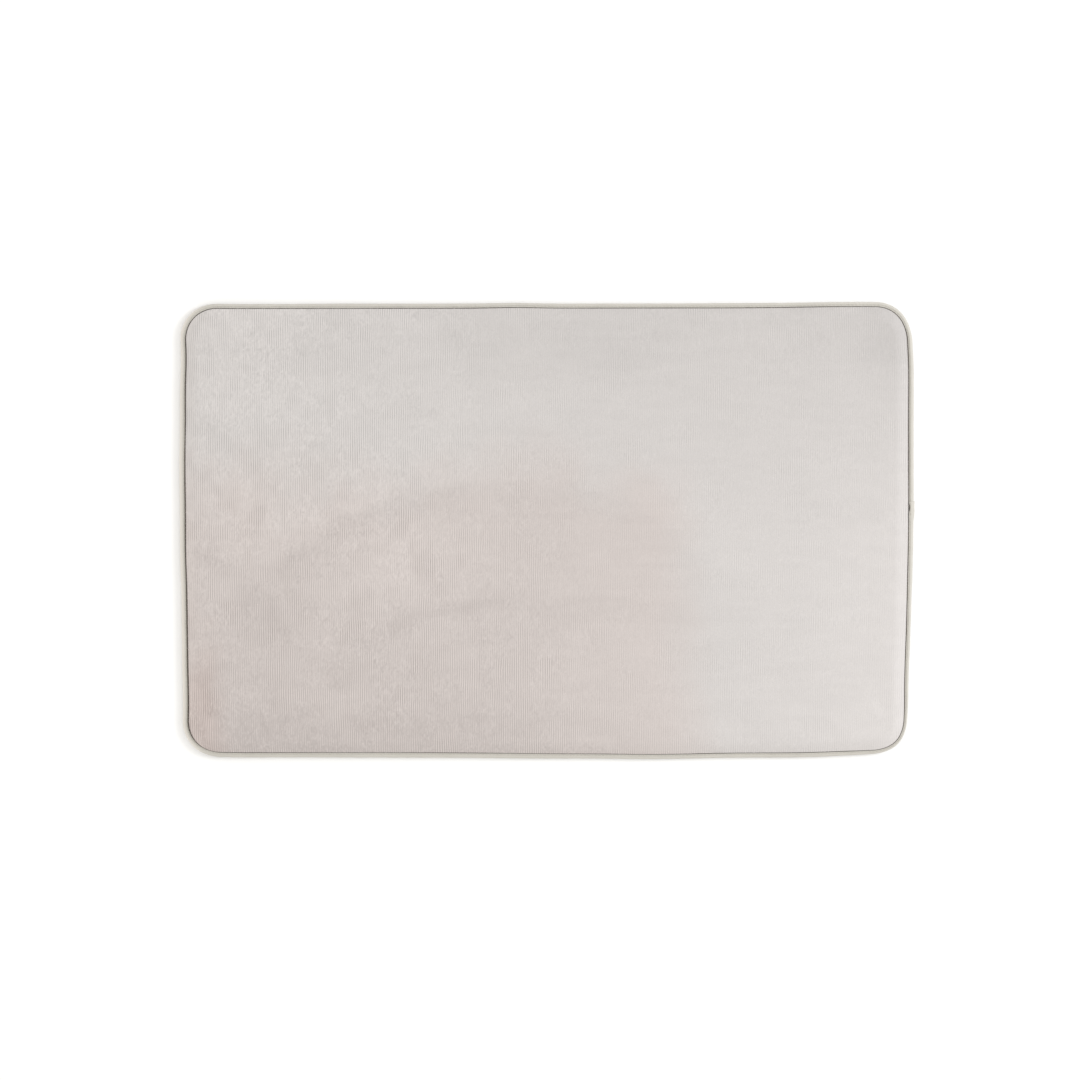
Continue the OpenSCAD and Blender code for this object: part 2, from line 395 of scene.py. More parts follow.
def columnGrid(inset, stepX, stepY, arcX, arcY):
    radius = mat["cornerRadius"] - inset

    def places(run, step, arcSteps):
        straight = np.linspace(-run, run, 2 * round(run / step) + 1)
        turn = np.linspace(0, math.pi / 2, arcSteps + 1)[1:]
        return np.concatenate([-(run + radius * np.sin(turn))[::-1], straight, run + radius * np.sin(turn)])

    columns = places(runX, stepX, arcX)
    rows = places(runY, stepY, arcY) / (runY + radius)
    past = np.clip(np.abs(columns) - runX, 0, radius)
    reach = runY + np.sqrt(np.maximum(radius ** 2 - past ** 2, 0))
    return np.repeat(columns[:, None], len(rows), 1), reach[:, None] * rows[None, :]


def rimOf(countX, countY, stepX=1, stepY=1):    # grid places round the rim, anticlockwise from above
    lastX, lastY = countX - 1, countY - 1
    return ([(i, 0) for i in range(0, lastX, stepX)] + [(lastX, j) for j in range(0, lastY, stepY)]
            + [(i, lastY) for i in range(lastX, 0, -stepX)] + [(0, j) for j in range(lastY, 0, -stepY)])


def gridFaces(countX, countY, first=0, flip=False):
    i, j = np.meshgrid(np.arange(countX - 1), np.arange(countY - 1), indexing="ij")
    corner = (first + i * countY + j).ravel()
    quads = np.stack([corner, corner + countY, corner + countY + 1, corner + 1], 1)
    return (quads[:, ::-1] if flip else quads).tolist()


def outwardOf(flat):    # outward direction at points on the rim
    past = np.sign(flat) * np.maximum(np.abs(flat) - [runX, runY], 0)
    return past / np.maximum(np.hypot(past[:, 0], past[:, 1]), 1e-9)[:, None]


def closedPad(name, x, y, inset, top, bottom, edgeRings, coarse=(1, 1)):
    # top and bottom are heights on the grid; edgeRings are (inset, height) from the top rim down;
    # the bottom takes every coarse-th line of the grid
    countX, countY = x.shape
    points = [np.stack([x.ravel(), y.ravel(), top.ravel()], 1)]
    faces = gridFaces(countX, countY)
    rim = rimOf(countX, countY)
    ring = [i * countY + j for i, j in rim]
    flat = points[0][ring, :2]
    outward = outwardOf(flat)
    count = countX * countY
    for ringInset, height in edgeRings:
        moved = flat + outward * (inset - ringInset)
        points.append(np.column_stack([moved, np.full(len(moved), height)]))
        lower = list(range(count, count + len(rim)))
        faces += [(lower[k - 1], lower[k], ring[k], ring[k - 1]) for k in range(len(rim))]
        ring, count = lower, count + len(rim)
    stepX, stepY = coarse
    lowX, lowY, lowZ = x[::stepX, ::stepY], y[::stepX, ::stepY], bottom[::stepX, ::stepY]
    lowCountY = lowX.shape[1]
    points.append(np.stack([lowX.ravel(), lowY.ravel(), lowZ.ravel()], 1))
    faces += gridFaces(*lowX.shape, count, flip=True)
    placeOf = {spot: k for k, spot in enumerate(rim)}
    coarseRim = rimOf(countX, countY, stepX, stepY)
    lower = [count + (i // stepX) * lowCountY + j // stepY for i, j in coarseRim]
    stops = [placeOf[spot] for spot in coarseRim]
    for k in range(len(stops)):
        start, end = stops[k - 1], stops[k] or len(rim)
        upper = [ring[m % len(rim)] for m in range(end, start - 1, -1)]
        faces.append((lower[k - 1], lower[k], *upper))
    return meshPiece(name, settle(np.concatenate(points)), faces)


pile = {
    "crevice": 0.0071,        # from the outer edge to the first pile
    "rootShadeReach": 0.0010,      # over which painted root shade shows at that edge
    "slope": 0.0145,          # over which the edge rises to full height
    "step": 0.0016,           # height of the first pile above the pinched cover
    "pinchTop": 0.0062,
    "pinchBottom": 0.00485,
    "ribPitch": 0.0024,
    "dashHeight": 0.00014,    # of the broken rows of yarn ends
    "dashShade": 0.60,
    "leftRimPaintedLight": 0.55,     # painted light on the left rim's slope
    "ribHeight": 0.00012,
    "ribShade": 0.04,         # painted shade: how much darker the furrows between ribs are drawn
    "ribWander": 0.0007,
    "tuftHeight": 0.00010,
    "unevenness": 0.0005,     # of the resting surface
    "swell": 0.0008,          # most that the cloth may move when it is puffed
    "swellShare": 0.2,
    "pressure": 4.0,
    "tension": 25,
    "bending": 1.5,
    "slack": -0.012,          # spare cloth, which gathers at the seam
    "glueFrom": 0.046,
    "clothStep": 0.0065,
    "frames": 20,
}

# Hand strokes left in the nap, and a band of painted shade along the near rim: arcs by centre, radius and
# angles in degrees. Depth darkens, and a negative depth lightens. The outer side fades over width, the inner
# side over fade.
napStrokes = {
    "longSweep": {"centre": (-0.082, -0.262), "radius": 0.307, "angles": (72, 152), "width": 0.007,
                  "fade": 0.042, "depth": 0.17},
    "longSweepEdge": {"centre": (-0.082, -0.262), "radius": 0.301, "angles": (88, 140), "width": 0.005,
                      "fade": 0.012, "depth": 0.07},
    "longSweepRight": {"centre": (-0.002, -0.161), "radius": 0.207, "angles": (30, 106), "width": 0.008,
                       "fade": 0.060, "depth": 0.09},
    "shortSweep": {"centre": (-0.039, -0.403), "radius": 0.327, "angles": (84, 122), "width": 0.005,
                   "fade": 0.009, "depth": 0.19},
    "shortSweepRim": {"centre": (-0.039, -0.403), "radius": 0.315, "angles": (88, 112), "width": 0.005,
                      "fade": 0.010, "depth": -0.06},
    "shortSweepTail": {"centre": (0.023, -0.836), "radius": 0.762, "angles": (78, 95), "width": 0.005,
                       "fade": 0.030, "depth": 0.08},
    "leftDrag": {"centre": (-0.509, -0.282), "radius": 0.287, "angles": (30, 74), "width": 0.016,
                 "fade": 0.014, "depth": 0.12},
    # painted shade along the left half of the near rim, where the pile slopes down
    "nearRimPaintedShade": {"centre": (-0.20, 0.70), "radius": 0.925, "angles": (255, 287), "width": 0.040,
                "fade": 0.022, "depth": 0.14},
}
napSmudges = [(-0.333, 0.201), (-0.270, 0.207), (-0.264, 0.190), (-0.375, 0.195), (-0.228, 0.077),
              (-0.371, -0.030), (-0.093, -0.030), (-0.173, 0.197), (-0.052, -0.214)]


def napAndPaintedLight(x, y):    # painted light and shade on the pile, from 0 shaded to 1 lit, mixed with the nap's own stroke marks and smudges
    wobbleX = (cloudNoise(x, y, 0.03, 11) - 0.5) * 0.014
    wobbleY = (cloudNoise(x, y, 0.024, 12) - 0.5) * 0.010
    across, up = x / mat["halfLength"], y / mat["halfWidth"]
    # painted light and shade: a broad gradient, lighter towards the near right and the far left, darker
    # towards the near left and the far right
    shade = 0.54 + 0.20 * across * (1 - up) - 0.24 * across * np.maximum(up, 0)
    shade += 0.13 * np.maximum(-across, 0) - 0.12 * np.maximum(-up, 0) * (1 - np.abs(across))
    for stroke in napStrokes.values():
        dx, dy = x + wobbleX - stroke["centre"][0], y + wobbleY - stroke["centre"][1]
        off = np.hypot(dx, dy) - stroke["radius"]
        start, end = stroke["angles"]
        angle = (np.degrees(np.arctan2(dy, dx)) - start) % 360
        share = np.clip(angle / (end - start), 0, 1)
        ends = smooth(share * 3.5) * smooth((1 - share) * 3.5) * (angle <= end - start)
        band = np.where(off > 0, bell(off, stroke["width"]), bell(off, stroke["fade"]))
        shade -= stroke["depth"] * band * ends
    for spotX, spotY in napSmudges:
        away = np.hypot((x + wobbleX * 0.6 - spotX) / 0.0035, (y + wobbleY * 0.6 - spotY) / 0.0055)
        shade -= 0.16 * bell(away, 1)
    ruffled = 0.12 + smooth((0.05 - x) / 0.30)
    shade -= 0.08 * ruffled * smooth(3.6 * cloudNoise(x, y, 0.016, 22) - 1.75)
    shade += 0.14 * (cloudNoise(x, y, 0.075, 25) - 0.5)
    shade += 0.10 * (softNoise(x * 0.22, y, 0.006, 23) - 0.5)
    # lighter along the middle of the left half, darker along the far side and at its right corner
    shade += 0.19 * smooth((-0.02 - x) / 0.15) * bell(y, 0.09)
    shade -= 0.12 * smooth((y - 0.13) / 0.08) * smooth((0.22 - x) / 0.15)
    shade -= 0.14 * smooth((x - 0.31) / 0.06) * smooth((y - 0.13) / 0.08)
    inset = insetOf(x, y)
    # painted light: the left rim's slope drawn lighter
    leftSide = smooth((-x - runX - 0.012) / 0.02)
    shade += pile["leftRimPaintedLight"] * leftSide * smooth((0.024 - inset) / 0.018)
    return shade


def tuftDashes(x, y):    # -1 to 1, the yarn ends standing in short broken rows along Y
    slip = 0.45 * softNoise(x * 0.8, y * 0.5, 0.011, 27)
    rows = np.cos(2 * math.pi * (x / pile["ribPitch"] + slip))
    patch = 0.10 + 0.45 * smooth(2.4 * softNoise(x, y * 0.8, 0.0042, 30) - 0.7)
    patch += 0.75 * smooth(3.2 * softNoise(x, y * 0.8, 0.013, 36) - 1.3)
    tangle = softNoise(x, y * 0.7, 0.0013, 37) - softNoise(x, y * 0.7, 0.0017, 38)
    rough = 0.25 + 0.80 * smooth((0.14 - x - 0.5 * y) / 0.36)
    rough += 0.30 * smooth(3 * cloudNoise(x, y, 0.03, 29) - 1.2)
    return (rows * patch + 0.55 * tangle * (1.3 - patch)) * rough


def nearLeftWarmth(x, y):    # pinker towards the near left, most along the near half of the left edge
    wobble = 0.09 * (cloudNoise(x, y, 0.06, 24) - 0.5)
    tan = smooth((-x - 0.345 + 0.3 * wobble) / 0.035) * smooth((-y - 0.09 + wobble) / 0.10)
    return smooth((0.120 - y + wobble) / 0.115) * smooth((0.197 - x + 0.6 * wobble) / 0.085) + 0.9 * tan


def slopeShare(inset):
    return np.sin(math.pi / 2 * np.clip((inset - pile["crevice"]) / pile["slope"], 0, 1))


def coverTop(inset):
    low = pile["pinchTop"] + pile["step"]
    return low + (coverHigh.z - low) * slopeShare(inset)


def puffCover():    # the cover as cloth, held by its seam and by the glue, and pressed up by the foam between
    x, y = columnGrid(pile["crevice"], pile["clothStep"], pile["clothStep"], 8, 8)
    inset = insetOf(x, y).ravel()
    points = np.column_stack([x.ravel(), y.ravel(), coverTop(inset)])
    cloth = meshPiece("clothTrial", points, gridFaces(*x.shape))
    held = cloth.vertex_groups.new(name="held")
    glued = np.flatnonzero(inset > pile["glueFrom"]).tolist()
    held.add(glued + [i * x.shape[1] + j for i, j in rimOf(*x.shape)], 1.0, "REPLACE")
    sim = cloth.modifiers.new("puff", "CLOTH")
    sim.settings.use_pressure = True
    sim.settings.uniform_pressure_force = pile["pressure"]
    sim.settings.effector_weights.gravity = 0
    sim.settings.vertex_group_mass = "held"
    sim.settings.shrink_min = pile["slack"]
    sim.settings.tension_stiffness = pile["tension"]
    sim.settings.bending_stiffness = pile["bending"]
    sim.point_cache.frame_start, sim.point_cache.frame_end = 1, pile["frames"]
    for step in range(1, pile["frames"] + 1):
        bpy.context.scene.frame_set(step)
    posed = cloth.evaluated_get(bpy.context.evaluated_depsgraph_get()).data
    after = np.empty(len(points) * 3)
    posed.vertices.foreach_get("co", after)
    lift = after.reshape(-1, 3)[:, 2] - points[:, 2]
    bpy.context.scene.frame_set(1)
    bpy.data.objects.remove(cloth)
    return x[:, 0], y[len(x) // 2] / y[len(x) // 2, -1], lift.reshape(x.shape)


def sampleGrid(columns, rows, values, x, y):    # values on the cloth's grid, read at other points
    radius = mat["cornerRadius"] - pile["crevice"]
    past = np.clip(np.abs(x) - runX, 0, radius)
    reach = runY + np.sqrt(np.maximum(radius ** 2 - past ** 2, 0))
    u = np.interp(x, columns, np.arange(len(columns)))
    v = np.interp(y / reach, rows, np.arange(len(rows)))
    i, j = np.clip(u.astype(int), 0, len(columns) - 2), np.clip(v.astype(int), 0, len(rows) - 2)
    a, b = u - i, v - j
    return ((values[i, j] * (1 - a) + values[i + 1, j] * a) * (1 - b)
            + (values[i, j + 1] * (1 - a) + values[i + 1, j + 1] * a) * b)


def meshPlaces(piece, kind="co"):    # the places of a mesh's points, or their normals
    values = np.empty(len(piece.data.vertices) * 3)
    piece.data.vertices.foreach_get(kind, values)
    return values.reshape(-1, 3)


def addPointValues(piece, name, values):
    layer = piece.data.attributes.new(name, "FLOAT", "POINT")
    layer.data.foreach_set("value", np.asarray(values, np.float32))


def makePileCover():
    x, y = columnGrid(pile["crevice"], pile["ribPitch"] / 4, 0.002, 84, 36)
    inset = insetOf(x, y)
    share = slopeShare(inset)
    top = coverTop(inset)
    columns, rows, lift = puffCover()
    lift = sampleGrid(columns, rows, lift, x, y)
    print("cloth lift in mm", round(1000 * float(lift.min()), 2), round(1000 * float(lift.max()), 2))
    top += pile["swell"] * np.tanh(lift * pile["swellShare"] / pile["swell"])
    top += pile["unevenness"] * (cloudNoise(x, y, 0.09, 31) - 0.5) * 2 * share
    wander = pile["ribWander"] * (softNoise(x, y, 0.03, 32) - 0.5) * 2
    patches = smooth(2.4 * cloudNoise(x, y * 0.6, 0.02, 33) - 0.7)
    brushed = (0.15 + patches) * (0.45 + 1.1 * nearLeftWarmth(x, y) * smooth((0.20 - x) / 0.45))
    ribs = np.cos(2 * math.pi * (x + wander) / pile["ribPitch"]) * brushed
    top += pile["ribHeight"] * ribs * share
    dashes = tuftDashes(x, y)
    tufts = np.random.RandomState(35).rand(*x.shape) - 0.5
    top += (pile["tuftHeight"] * tufts + pile["dashHeight"] * dashes) * smooth((inset - 0.007) / 0.002)
    foamTop = pile["pinchBottom"] + (foamHigh.z + 0.0002 - pile["pinchBottom"]) * slopeShare(inset)
    rings = [(pile["crevice"], pile["pinchTop"] + 0.0009), (pile["crevice"] + 0.0001, pile["pinchTop"]),
             (mat["rawEdge"], pile["pinchTop"] - 0.0001), (mat["rawEdge"], pile["pinchBottom"])]
    piece = closedPad("pileCover", x, y, pile["crevice"], top, foamTop, rings, coarse=(8, 4))
    placesX, placesY, _ = meshPlaces(piece).T
    # painted light and shade of the pile, with the nap's marks, kept on the points
    napAndLight = napAndPaintedLight(placesX, placesY)
    # painted shade in the furrows between ribs
    napAndLight[:x.size] += pile["ribShade"] * ribs.ravel() + pile["dashShade"] * dashes.ravel()
    addPointValues(piece, "napAndLight", napAndLight)
    addPointValues(piece, "warmth", nearLeftWarmth(placesX, placesY))
    # painted shade at the roots: full on the cover's walls and underside, and at the top's edge as dark as
    # the furrow is drawn on that side
    depth = np.ones(len(placesX))
    reach = pile["rootShadeReach"] * (0.8 + 0.7 * creviceShade(x, y).ravel())
    depth[:x.size] = creviceShade(x, y).ravel() * smooth(1 - (inset.ravel() - pile["crevice"]) / reach)
    addPointValues(piece, "depth", depth)
    return piece


print("bath mat: camera and light")
view = {
    "lens": 100.0,
    "sensor": 36.0,
    "distance": 3.280,
    "target": (-0.00695, -0.0095, 0.0),
    "tilt": 0.0863,      # towards +Y
    "pan": 0.0103,       # towards +X
    "roll": -0.0013,
}


def makeCamera():
    camera = bpy.data.objects.new("camera", bpy.data.cameras.new("camera"))
    bpy.context.scene.collection.objects.link(camera)
    camera.data.lens = view["lens"]
    camera.data.sensor_width = view["sensor"]
    back = Vector((math.sin(view["pan"]), math.sin(view["tilt"]) * math.cos(view["pan"]),
                   math.cos(view["tilt"]) * math.cos(view["pan"])))
    right = (-back).cross(Vector((0, 1, 0))).normalized()
    up = right.cross(-back)
    turned = right * math.cos(view["roll"]) + up * math.sin(view["roll"])
    upright = up * math.cos(view["roll"]) - right * math.sin(view["roll"])
    place = Matrix((turned, upright, back)).transposed().to_4x4()
    place.translation = Vector(view["target"]) + back * view["distance"]
    camera.matrix_world = place
    bpy.context.scene.camera = camera


light = {
    "world": 1.10,
    "worldColour": (1.0, 0.985, 0.965),
    "keyPower": 34.0,
    "keyColour": (0.97, 1.0, 1.05),
    "keySize": 1.1,
    "keyPlace": (2.4, 0.7, 1.8),
    "floorColour": (0.865, 0.865, 0.86),
    "floorReach": 8.0,
}


def makeStudio():
    scene = bpy.context.scene
    scene.view_settings.view_transform = "Standard"
    scene.view_settings.look = "None"
    world = bpy.data.worlds.new("studio")
    world.use_nodes = True
    world.node_tree.nodes["Background"].inputs["Color"].default_value = (*light["worldColour"], 1)
    world.node_tree.nodes["Background"].inputs["Strength"].default_value = light["world"]
    scene.world = world
    lamp = bpy.data.objects.new("windowLight", bpy.data.lights.new("windowLight", "AREA"))
    scene.collection.objects.link(lamp)
    lamp.data.energy = light["keyPower"]
    lamp.data.color = light["keyColour"]
    lamp.data.shape = "DISK"
    lamp.data.size = light["keySize"]
    lamp.location = light["keyPlace"]
    lamp.rotation_euler = (-Vector(light["keyPlace"])).to_track_quat("-Z", "Y").to_euler()
    far = light["floorReach"]
    floor = meshPiece("studioFloor", [(-far, -far, 0), (far, -far, 0), (far, far, 0), (-far, far, 0)],
                      [(0, 1, 2, 3)])
    made, _, shader = material("paleFloor", 0.9, specular=0.1)
    shader.inputs["Base Color"].default_value = (*light["floorColour"], 1)
    floor.data.materials.append(made)


makeCamera()
makeStudio()

print("bath mat: cover and layers")
thread, web = threadMaterial(), webMaterial()
pileCover = makePileCover()
finishWith(pileCover, pileMaterial("plushPile", 1.0, True), ["pile_cover"])


layers = {
    "foamPinch": 0.0028,     # thickness of the foam at its edge
    "foamUneven": 0.0001,
    "coverFilm": 0.00012,
    "backingFilm": 0.0002,
    "backingUneven": 0.00012,
}


def makeFoam():
    x, y = columnGrid(mat["rawEdge"], 0.006, 0.006, 14, 14)
    inset = insetOf(x, y)
    low = foamLow.z + layers["foamPinch"]
    top = low + (foamHigh.z - low) * slopeShare(inset) - layers["foamUneven"] * softNoise(x, y, 0.012, 41)
    bottom = np.full(x.shape, foamLow.z)
    return closedPad("foamCore", x, y, mat["rawEdge"], top, bottom, [])


foamCore = makeFoam()
finishWith(foamCore, foamMaterial(), ["foam_core"])


def makeWebs():    # two thin films of melted glue: foam to cover, and foam to backing
    x, y = columnGrid(mat["rawEdge"], 0.003, 0.003, 14, 14)
    share = slopeShare(insetOf(x, y))
    top = pile["pinchBottom"] + (foamHigh.z + 0.0001 - pile["pinchBottom"]) * share
    film = closedPad("coverWeb", x, y, mat["rawEdge"], top, top - layers["coverFilm"], [])
    yield film, "cover_web", "foamCore"
    top = np.full(x.shape, foamLow.z)
    film = closedPad("backingWeb", x, y, mat["rawEdge"], top, top - layers["backingFilm"], [])
    yield film, "backing_web", "backingCloth"


for film, node, under in makeWebs():
    finishWith(film, web, [node])


def makeBacking():
    x, y = columnGrid(mat["rawEdge"], 0.004, 0.004, 14, 14)
    dimple = layers["backingUneven"] * (softNoise(x, y, 0.016, 42) - 0.5)
    top = np.full(x.shape, backingHigh.z)
    bottom = backingLow.z + dimple * smooth((insetOf(x, y) - 0.01) / 0.004)
    return closedPad("backingCloth", x, y, mat["rawEdge"], top, bottom, [])


backingCloth = makeBacking()
finishWith(backingCloth, backingMaterial(), ["backing_cloth"])

print("bath mat: binding")
tape = {
    "thickness": 0.0008,
    "topReach": 0.0061,      # from the outer edge to the tape's edge on the pile side
    "underReach": 0.010,
    "bend": 0.0035,
    "seam": 0.0050,          # from the outer edge to the line of stitches
    "seamDepth": 0.00042,
    "seamWidth": 0.00055,
    "puff": 0.00016,         # the tape's bulge between two stitches
    "puffAt": 0.0032,
    "puffWidth": 0.0016,
    "ripple": 0.00022,
    "slim": 0.0003,          # how much the roll is pulled in all round
    "slimFar": 0.0014,       # and along the far side
    "slimNear": 0.0006,      # the near side
    "slimRight": 0.0005,     # and on the right
    "slimRightLow": 0.0007,  # with this much more towards the near corner
    "slimCorner": 0.0013,    # and this much again round it
    "reachEnds": 0.0004,     # how much closer it lies to the pile along the two long sides
    "uneven": 0.0004,
    "stitches": 623,
    "samplesPerStitch": 4,
    "lapFrom": 0.011,        # where the folded end begins to lie on the tape, along Y
    "lapTo": 0.033,
    "lapThickness": 0.0009,
    "notch": 0.0016,         # how far the tape pulls back from the pile just below the folded end
    "notchAt": 0.026,
    "notchReach": 0.0035,
}


def tapeOutline():    # outer line of the section as (inset, height), from under the mat to the pile side
    bend, top = tape["bend"], mat["edgeHeight"]
    under = [(tape["underReach"] - 0.0011 * k, 0.0) for k in range(6)]
    turn = [(bend - bend * math.sin(a), bend - bend * math.cos(a)) for a in np.linspace(0, math.pi, 11)]
    over = [(bend + (tape["topReach"] - bend) * k / 8, top - 0.00035 * (k / 8) ** 2) for k in range(1, 9)]
    return np.array(under + turn + over)


def tapeBack():    # inner line of the section, from the pile side back under the mat
    bend, wall = tape["bend"], tape["thickness"]
    inner = bend - wall
    top = mat["edgeHeight"] - wall
    over = [(tape["topReach"] - 0.0001, top - 0.00010), (bend + 0.0009, top)]
    turn = [(bend - inner * math.sin(a), bend + inner * math.cos(a)) for a in np.linspace(0, math.pi, 7)]
    under = [(0.006, wall), (tape["underReach"], wall)]
    return np.array(over + turn + under)


def roundNoise(distance, across, cell, seed):    # soft noise that meets itself where the ring closes
    whole, blend = edgeLength(tape["seam"]), 0.06
    share = smooth((distance - whole + blend) / blend)
    before = softNoise(distance, across, cell, seed) * (1 - share)
    return before + softNoise(distance - whole, across, cell, seed) * share


def pulledIn(distance, inset):    # the roll's outer side, pulled in by its own amount on each side of the mat
    whole = edgeLength(tape["seam"])
    _, out = alongEdge(distance, tape["seam"])
    slim = tape["slim"] + tape["uneven"] * (roundNoise(distance, 0, 0.07, 52) - 0.5)
    slim += tape["slimFar"] * np.maximum(out[:, 1], 0) ** 2
    slim += tape["slimNear"] * np.maximum(-out[:, 1], 0) ** 2
    fromStart = np.where(distance > whole / 2, distance - whole, distance)
    low = tape["slimRightLow"] * smooth((0.9 * runY - fromStart) / 0.10)
    slim += (tape["slimRight"] + low) * np.maximum(out[:, 0], 0) ** 2
    slim += tape["slimCorner"] * bell(fromStart + 0.025, 0.07)
    return inset + slim[:, None] * np.clip(1 - inset / tape["seam"], 0, 1)


def tapeSection(distance, section, pinch):    # the section at each distance, drawn in by the stitches
    phase = distance / (edgeLength(tape["seam"]) / tape["stitches"])
    hole = np.cos(math.pi * phase) ** 8
    height = np.repeat(section[None, :, 1], len(distance), 0)
    over = smooth((height - tape["bend"]) / tape["bend"])
    _, out = alongEdge(distance, tape["seam"])
    inset = pulledIn(distance, np.repeat(section[None, :, 0], len(distance), 0))
    reach = tape["reachEnds"] * out[:, 1] ** 2 + tape["uneven"] * (roundNoise(distance, 0, 0.05, 53) - 0.5)
    reach -= tape["notch"] * bell(distance - runY - tape["notchAt"], tape["notchReach"])
    inset = inset + reach[:, None] * np.clip(inset / tape["seam"] - 1, 0, 1) * 4.5 * over
    near = bell(inset - tape["seam"], tape["seamWidth"])
    channel = tape["seamDepth"] * near * (0.55 + 0.45 * hole[:, None]) * pinch
    onRoll = bell(inset - tape["puffAt"], tape["puffWidth"])
    bulge = tape["puff"] * np.sin(math.pi * phase)[:, None] ** 2 * onRoll * pinch
    height = height - (channel - bulge) * (2 * over - 1)
    ripple = roundNoise(distance[:, None] + 0 * inset, inset * 3, 0.009, 51) - 0.5
    inset = inset - tape["ripple"] * ripple * pinch * (inset < tape["topReach"])
    return inset, np.maximum(height, 0.00002)


def sweepSection(distance, inset, height):
    base, out = alongEdge(distance, tape["seam"])
    flat = base[:, None, :] + out[:, None, :] * (mat["cornerRadius"] - inset)[:, :, None]
    return np.concatenate([flat, height[:, :, None]], 2).reshape(-1, 3)


def ringFaces(stations, around, closed=True):
    faces = []
    for s in range(stations if closed else stations - 1):
        a, b = s * around, ((s + 1) % stations) * around
        faces += [(a + k, b + k, b + (k + 1) % around, a + (k + 1) % around) for k in range(around)]
    return faces


def tapeLap():    # the folded end that finishes the tape, a thin sleeve on top of it on the right side
    start, end, full = tape["lapFrom"], tape["lapTo"], tape["lapThickness"]
    fold = full / 2
    stations = np.concatenate([np.linspace(start, end - fold, 22),
                               end - fold + fold * np.sin(np.linspace(0.3, math.pi / 2, 5))])
    section = tapeOutline()[7:]
    inset, height = tapeSection(stations + runY, section, 0.4)
    grown = full * smooth((stations - start) / 0.008) * (1 + 0.12 * np.sin(stations / 0.0016))
    past = np.clip((stations - (end - fold)) / fold, 0, 1)
    thinning = np.sqrt(np.maximum(1 - past ** 2, 0.0009))
    outer, inner = grown * (0.5 + 0.5 * thinning), grown * (0.5 - 0.5 * thinning)
    tilt = np.array([[p[0] - q[0], p[1] - q[1]] for p, q in zip(section, np.roll(section, 1, 0))])
    tilt[0] = tilt[1]
    tilt = np.array([[t[1], -t[0]] for t in tilt])
    tilt /= np.hypot(tilt[:, 0], tilt[:, 1])[:, None]
    weight = smooth(section[:, 1] / 0.0022)
    shells = []
    for thickness in (outer, inner):
        grow = (0.00003 + thickness[:, None]) * weight[None, :]
        shells.append((inset - grow * tilt[None, :, 0], height - grow * tilt[None, :, 1]))
    inset = np.concatenate([shells[0][0], shells[1][0][:, ::-1]], 1)
    height = np.concatenate([shells[0][1], shells[1][1][:, ::-1]], 1)
    return stations + runY, inset, np.maximum(height, 0.00001)


def makeBinding():
    section = np.concatenate([tapeOutline(), tapeBack()])
    stations = tape["stitches"] * tape["samplesPerStitch"]
    distance = np.arange(stations) * edgeLength(tape["seam"]) / stations
    inset, height = tapeSection(distance, section, 1.0)
    outerCount = len(tapeOutline())
    height[:, outerCount:] = section[outerCount:, 1]
    inset[:, outerCount:] = pulledIn(distance, np.repeat(section[None, outerCount:, 0], stations, 0))
    points = sweepSection(distance, inset, height)
    faces = ringFaces(stations, len(section))
    lapDistance, lapInset, lapHeight = tapeLap()
    lapPoints = sweepSection(lapDistance, lapInset, lapHeight)
    first, around = len(points), lapInset.shape[1]
    lapFaces = ringFaces(len(lapDistance), around, closed=False)
    lapFaces.append(tuple(range(around - 1, -1, -1)))
    lapFaces.append(tuple(range((len(lapDistance) - 1) * around, len(lapDistance) * around)))
    faces += [tuple(first + v for v in face) for face in lapFaces]
    points = np.concatenate([points, lapPoints])
    piece = meshPiece("bindingTape", settle(points), faces)
    inward = np.concatenate([inset.ravel(), lapInset.ravel()])
    upper = smooth((points[:, 2] - 0.0005) / 0.002)
    left = smooth((-points[:, 0] - 0.365) / 0.025)
    # painted light: the outer fold drawn paler on the left side
    addPointValues(piece, "paintedFoldLight", 0.62 * left * smooth((0.0042 - inward) / 0.0030) * upper)
    # painted shade on the tape's edge in the furrow, as dark as the pile's there
    furrowShade = creviceShade(points[:, 0], points[:, 1]) * smooth((inward - 0.0047) / 0.0014)
    addPointValues(piece, "paintedFurrowShade", 0.75 * furrowShade * upper)
    run = np.concatenate([np.repeat(distance, len(section)), np.repeat(lapDistance, around)])
    across = np.concatenate([np.tile(np.arange(len(section)) * 0.0006, stations),
                             np.tile(np.arange(around) * 0.0006, len(lapDistance))])
    layer = piece.data.uv_layers.new(name="run")
    corner = np.empty(len(piece.data.loops), int)
    piece.data.loops.foreach_get("vertex_index", corner)
    alongTape = run[corner]
    whole = edgeLength(tape["seam"])
    closing = slice(4 * (stations - 1) * len(section), 4 * stations * len(section))    # the ring's last faces
    alongTape[closing] += whole * (alongTape[closing] < whole / 2)
    twill = np.stack([alongTape, across[corner]], 1) / tapeLook["twillPitch"]
    layer.data.foreach_set("uv", twill.astype(np.float32).ravel())
    return piece


bindingTape = makeBinding()
finishWith(bindingTape, tapeMaterial(), ["binding_tape"])

print("bath mat: stitches, dots and fibres")


socketKinds = {float: "NodeSocketFloat", int: "NodeSocketInt", tuple: "NodeSocketVector"}


